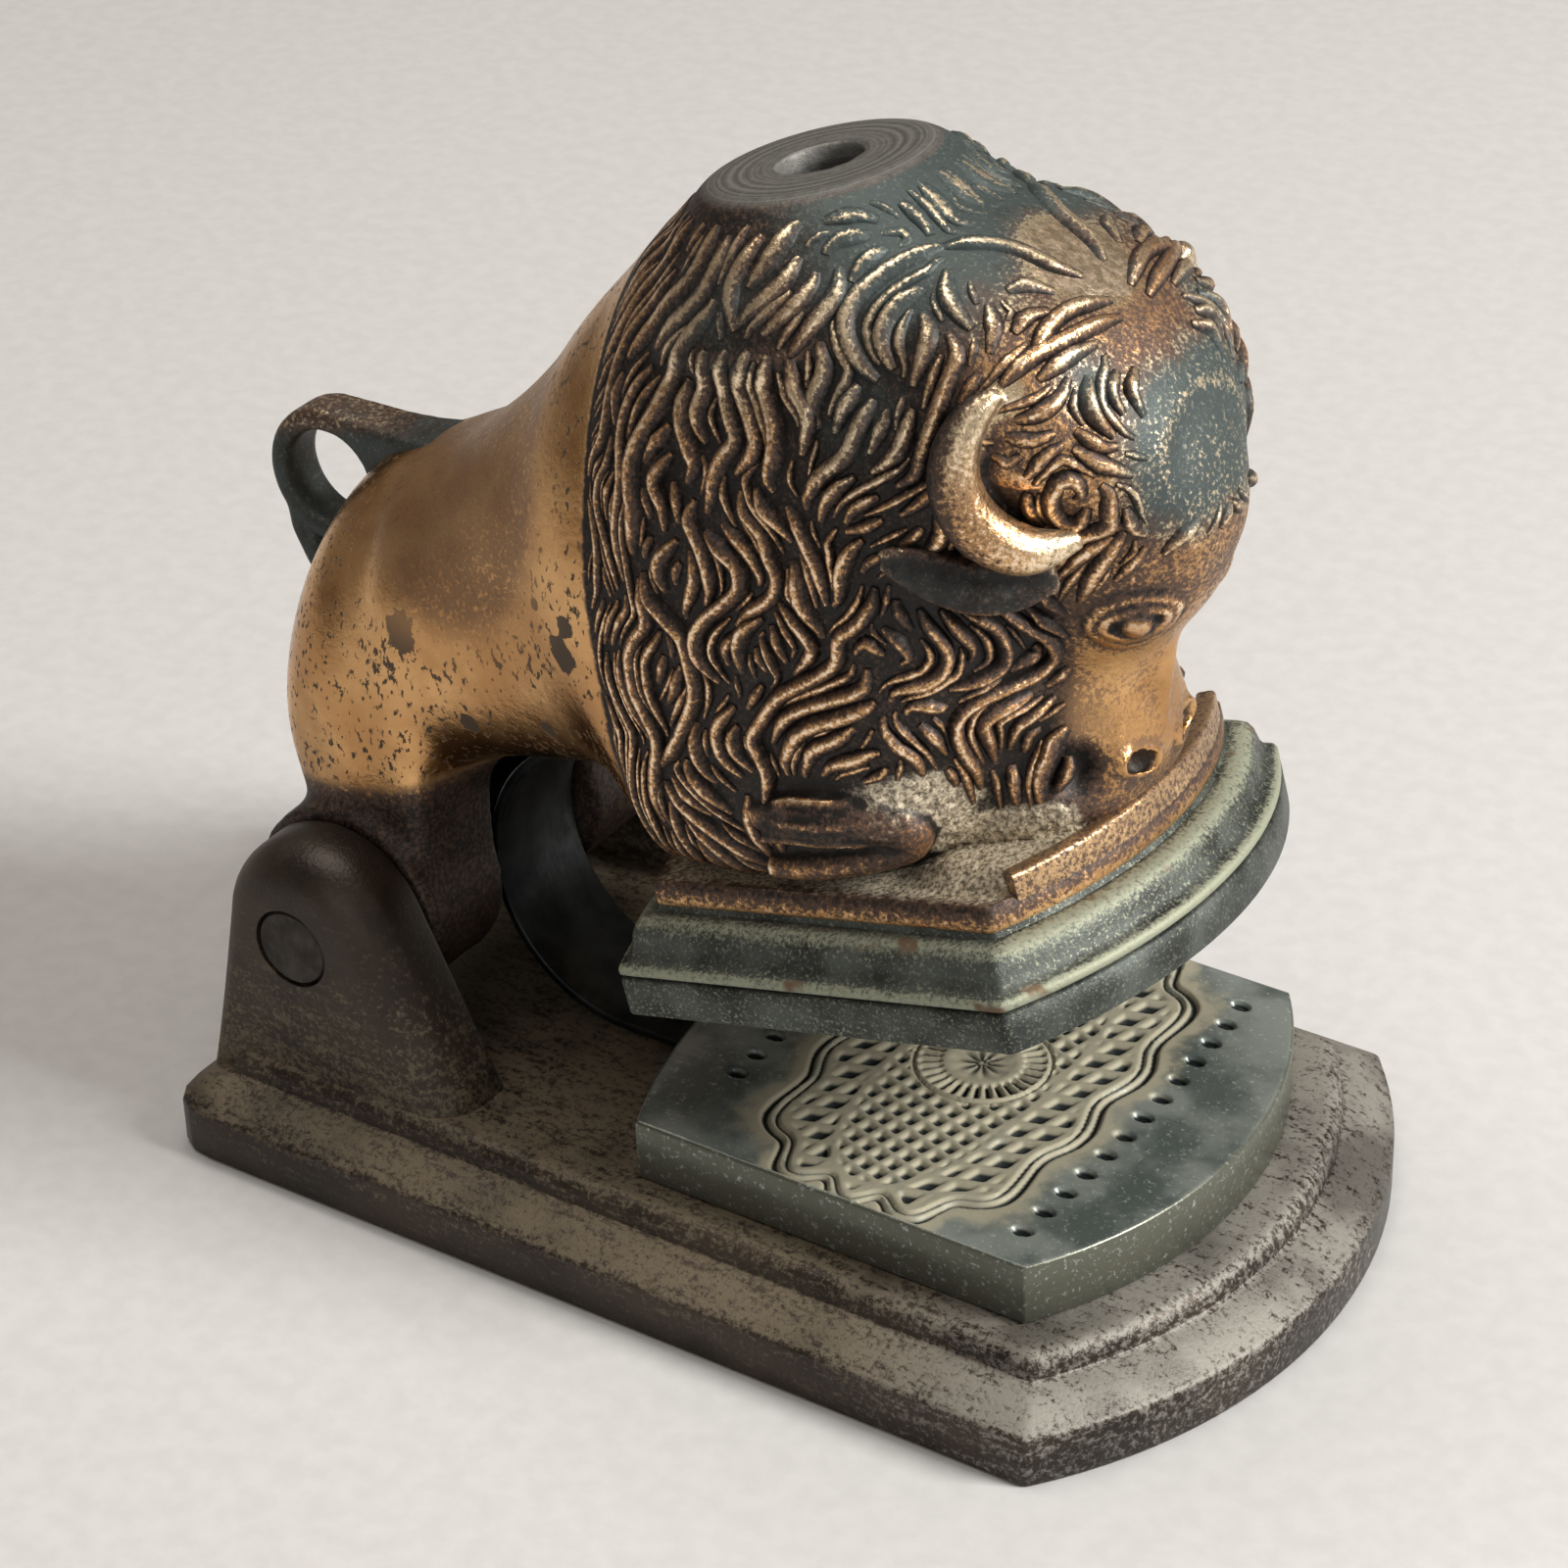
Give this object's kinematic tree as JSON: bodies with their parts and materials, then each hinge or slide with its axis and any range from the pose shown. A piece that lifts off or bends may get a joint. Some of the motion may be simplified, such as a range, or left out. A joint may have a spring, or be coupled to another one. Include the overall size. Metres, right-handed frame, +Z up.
{
  "type": "desk seal",
  "caption": "Hand embossing seal for a desk: a cast bison lever hinged on a moulded base presses paper between two engraved dies and springs open.",
  "frame": {"origin": "centre of the base's flat underside, on the table", "axes": "+X to the bison's head and the bowed front, +Y to the bison's left, +Z up"},
  "size_m": [0.1129, 0.066, 0.1039],
  "materials": {
    "dark_bronze": "dark brown patina with dusty speckle",
    "verdigris_die": "dark green patina with dust in the engraving",
    "verdigris_plate": "grey-green patina, pale on its edges",
    "worn_copper": "polished by handling, dark in its recesses",
    "force_metal": "dull cast metal",
    "pin_steel": "dark, filed flush",
    "spring_steel": "blued and dulled",
    "dark_steel": "aged screw steel"
  },
  "bodies": {
    "base": {"base_casting": "dark_bronze", "lower_die": "verdigris_die", "lower_die_screws": "dark_steel", "die_dowels": "dark_steel", "pivot_pin": "pin_steel", "return_spring": "spring_steel", "spring_screw": "dark_steel"},
    "lever": {"bison_casting": "worn_copper", "tail_loop": "worn_copper", "moulded_plate": "verdigris_plate", "upper_die_plate": "verdigris_plate", "counter_force": "force_metal", "plate_screws": "dark_steel", "plate_dowels": "dark_steel"}
  },
  "joints": [
    {"name": "lever_pivot", "type": "hinge", "parent": "base", "child": "lever", "pos_m": [-0.041, 0, 0.0233], "axis": [0, 1, 0], "range_deg": [0, 14.4], "stiffness_Nm_per_rad": 6, "springref_deg": -20.05, "deforming": ["return_spring"]}
  ]
}
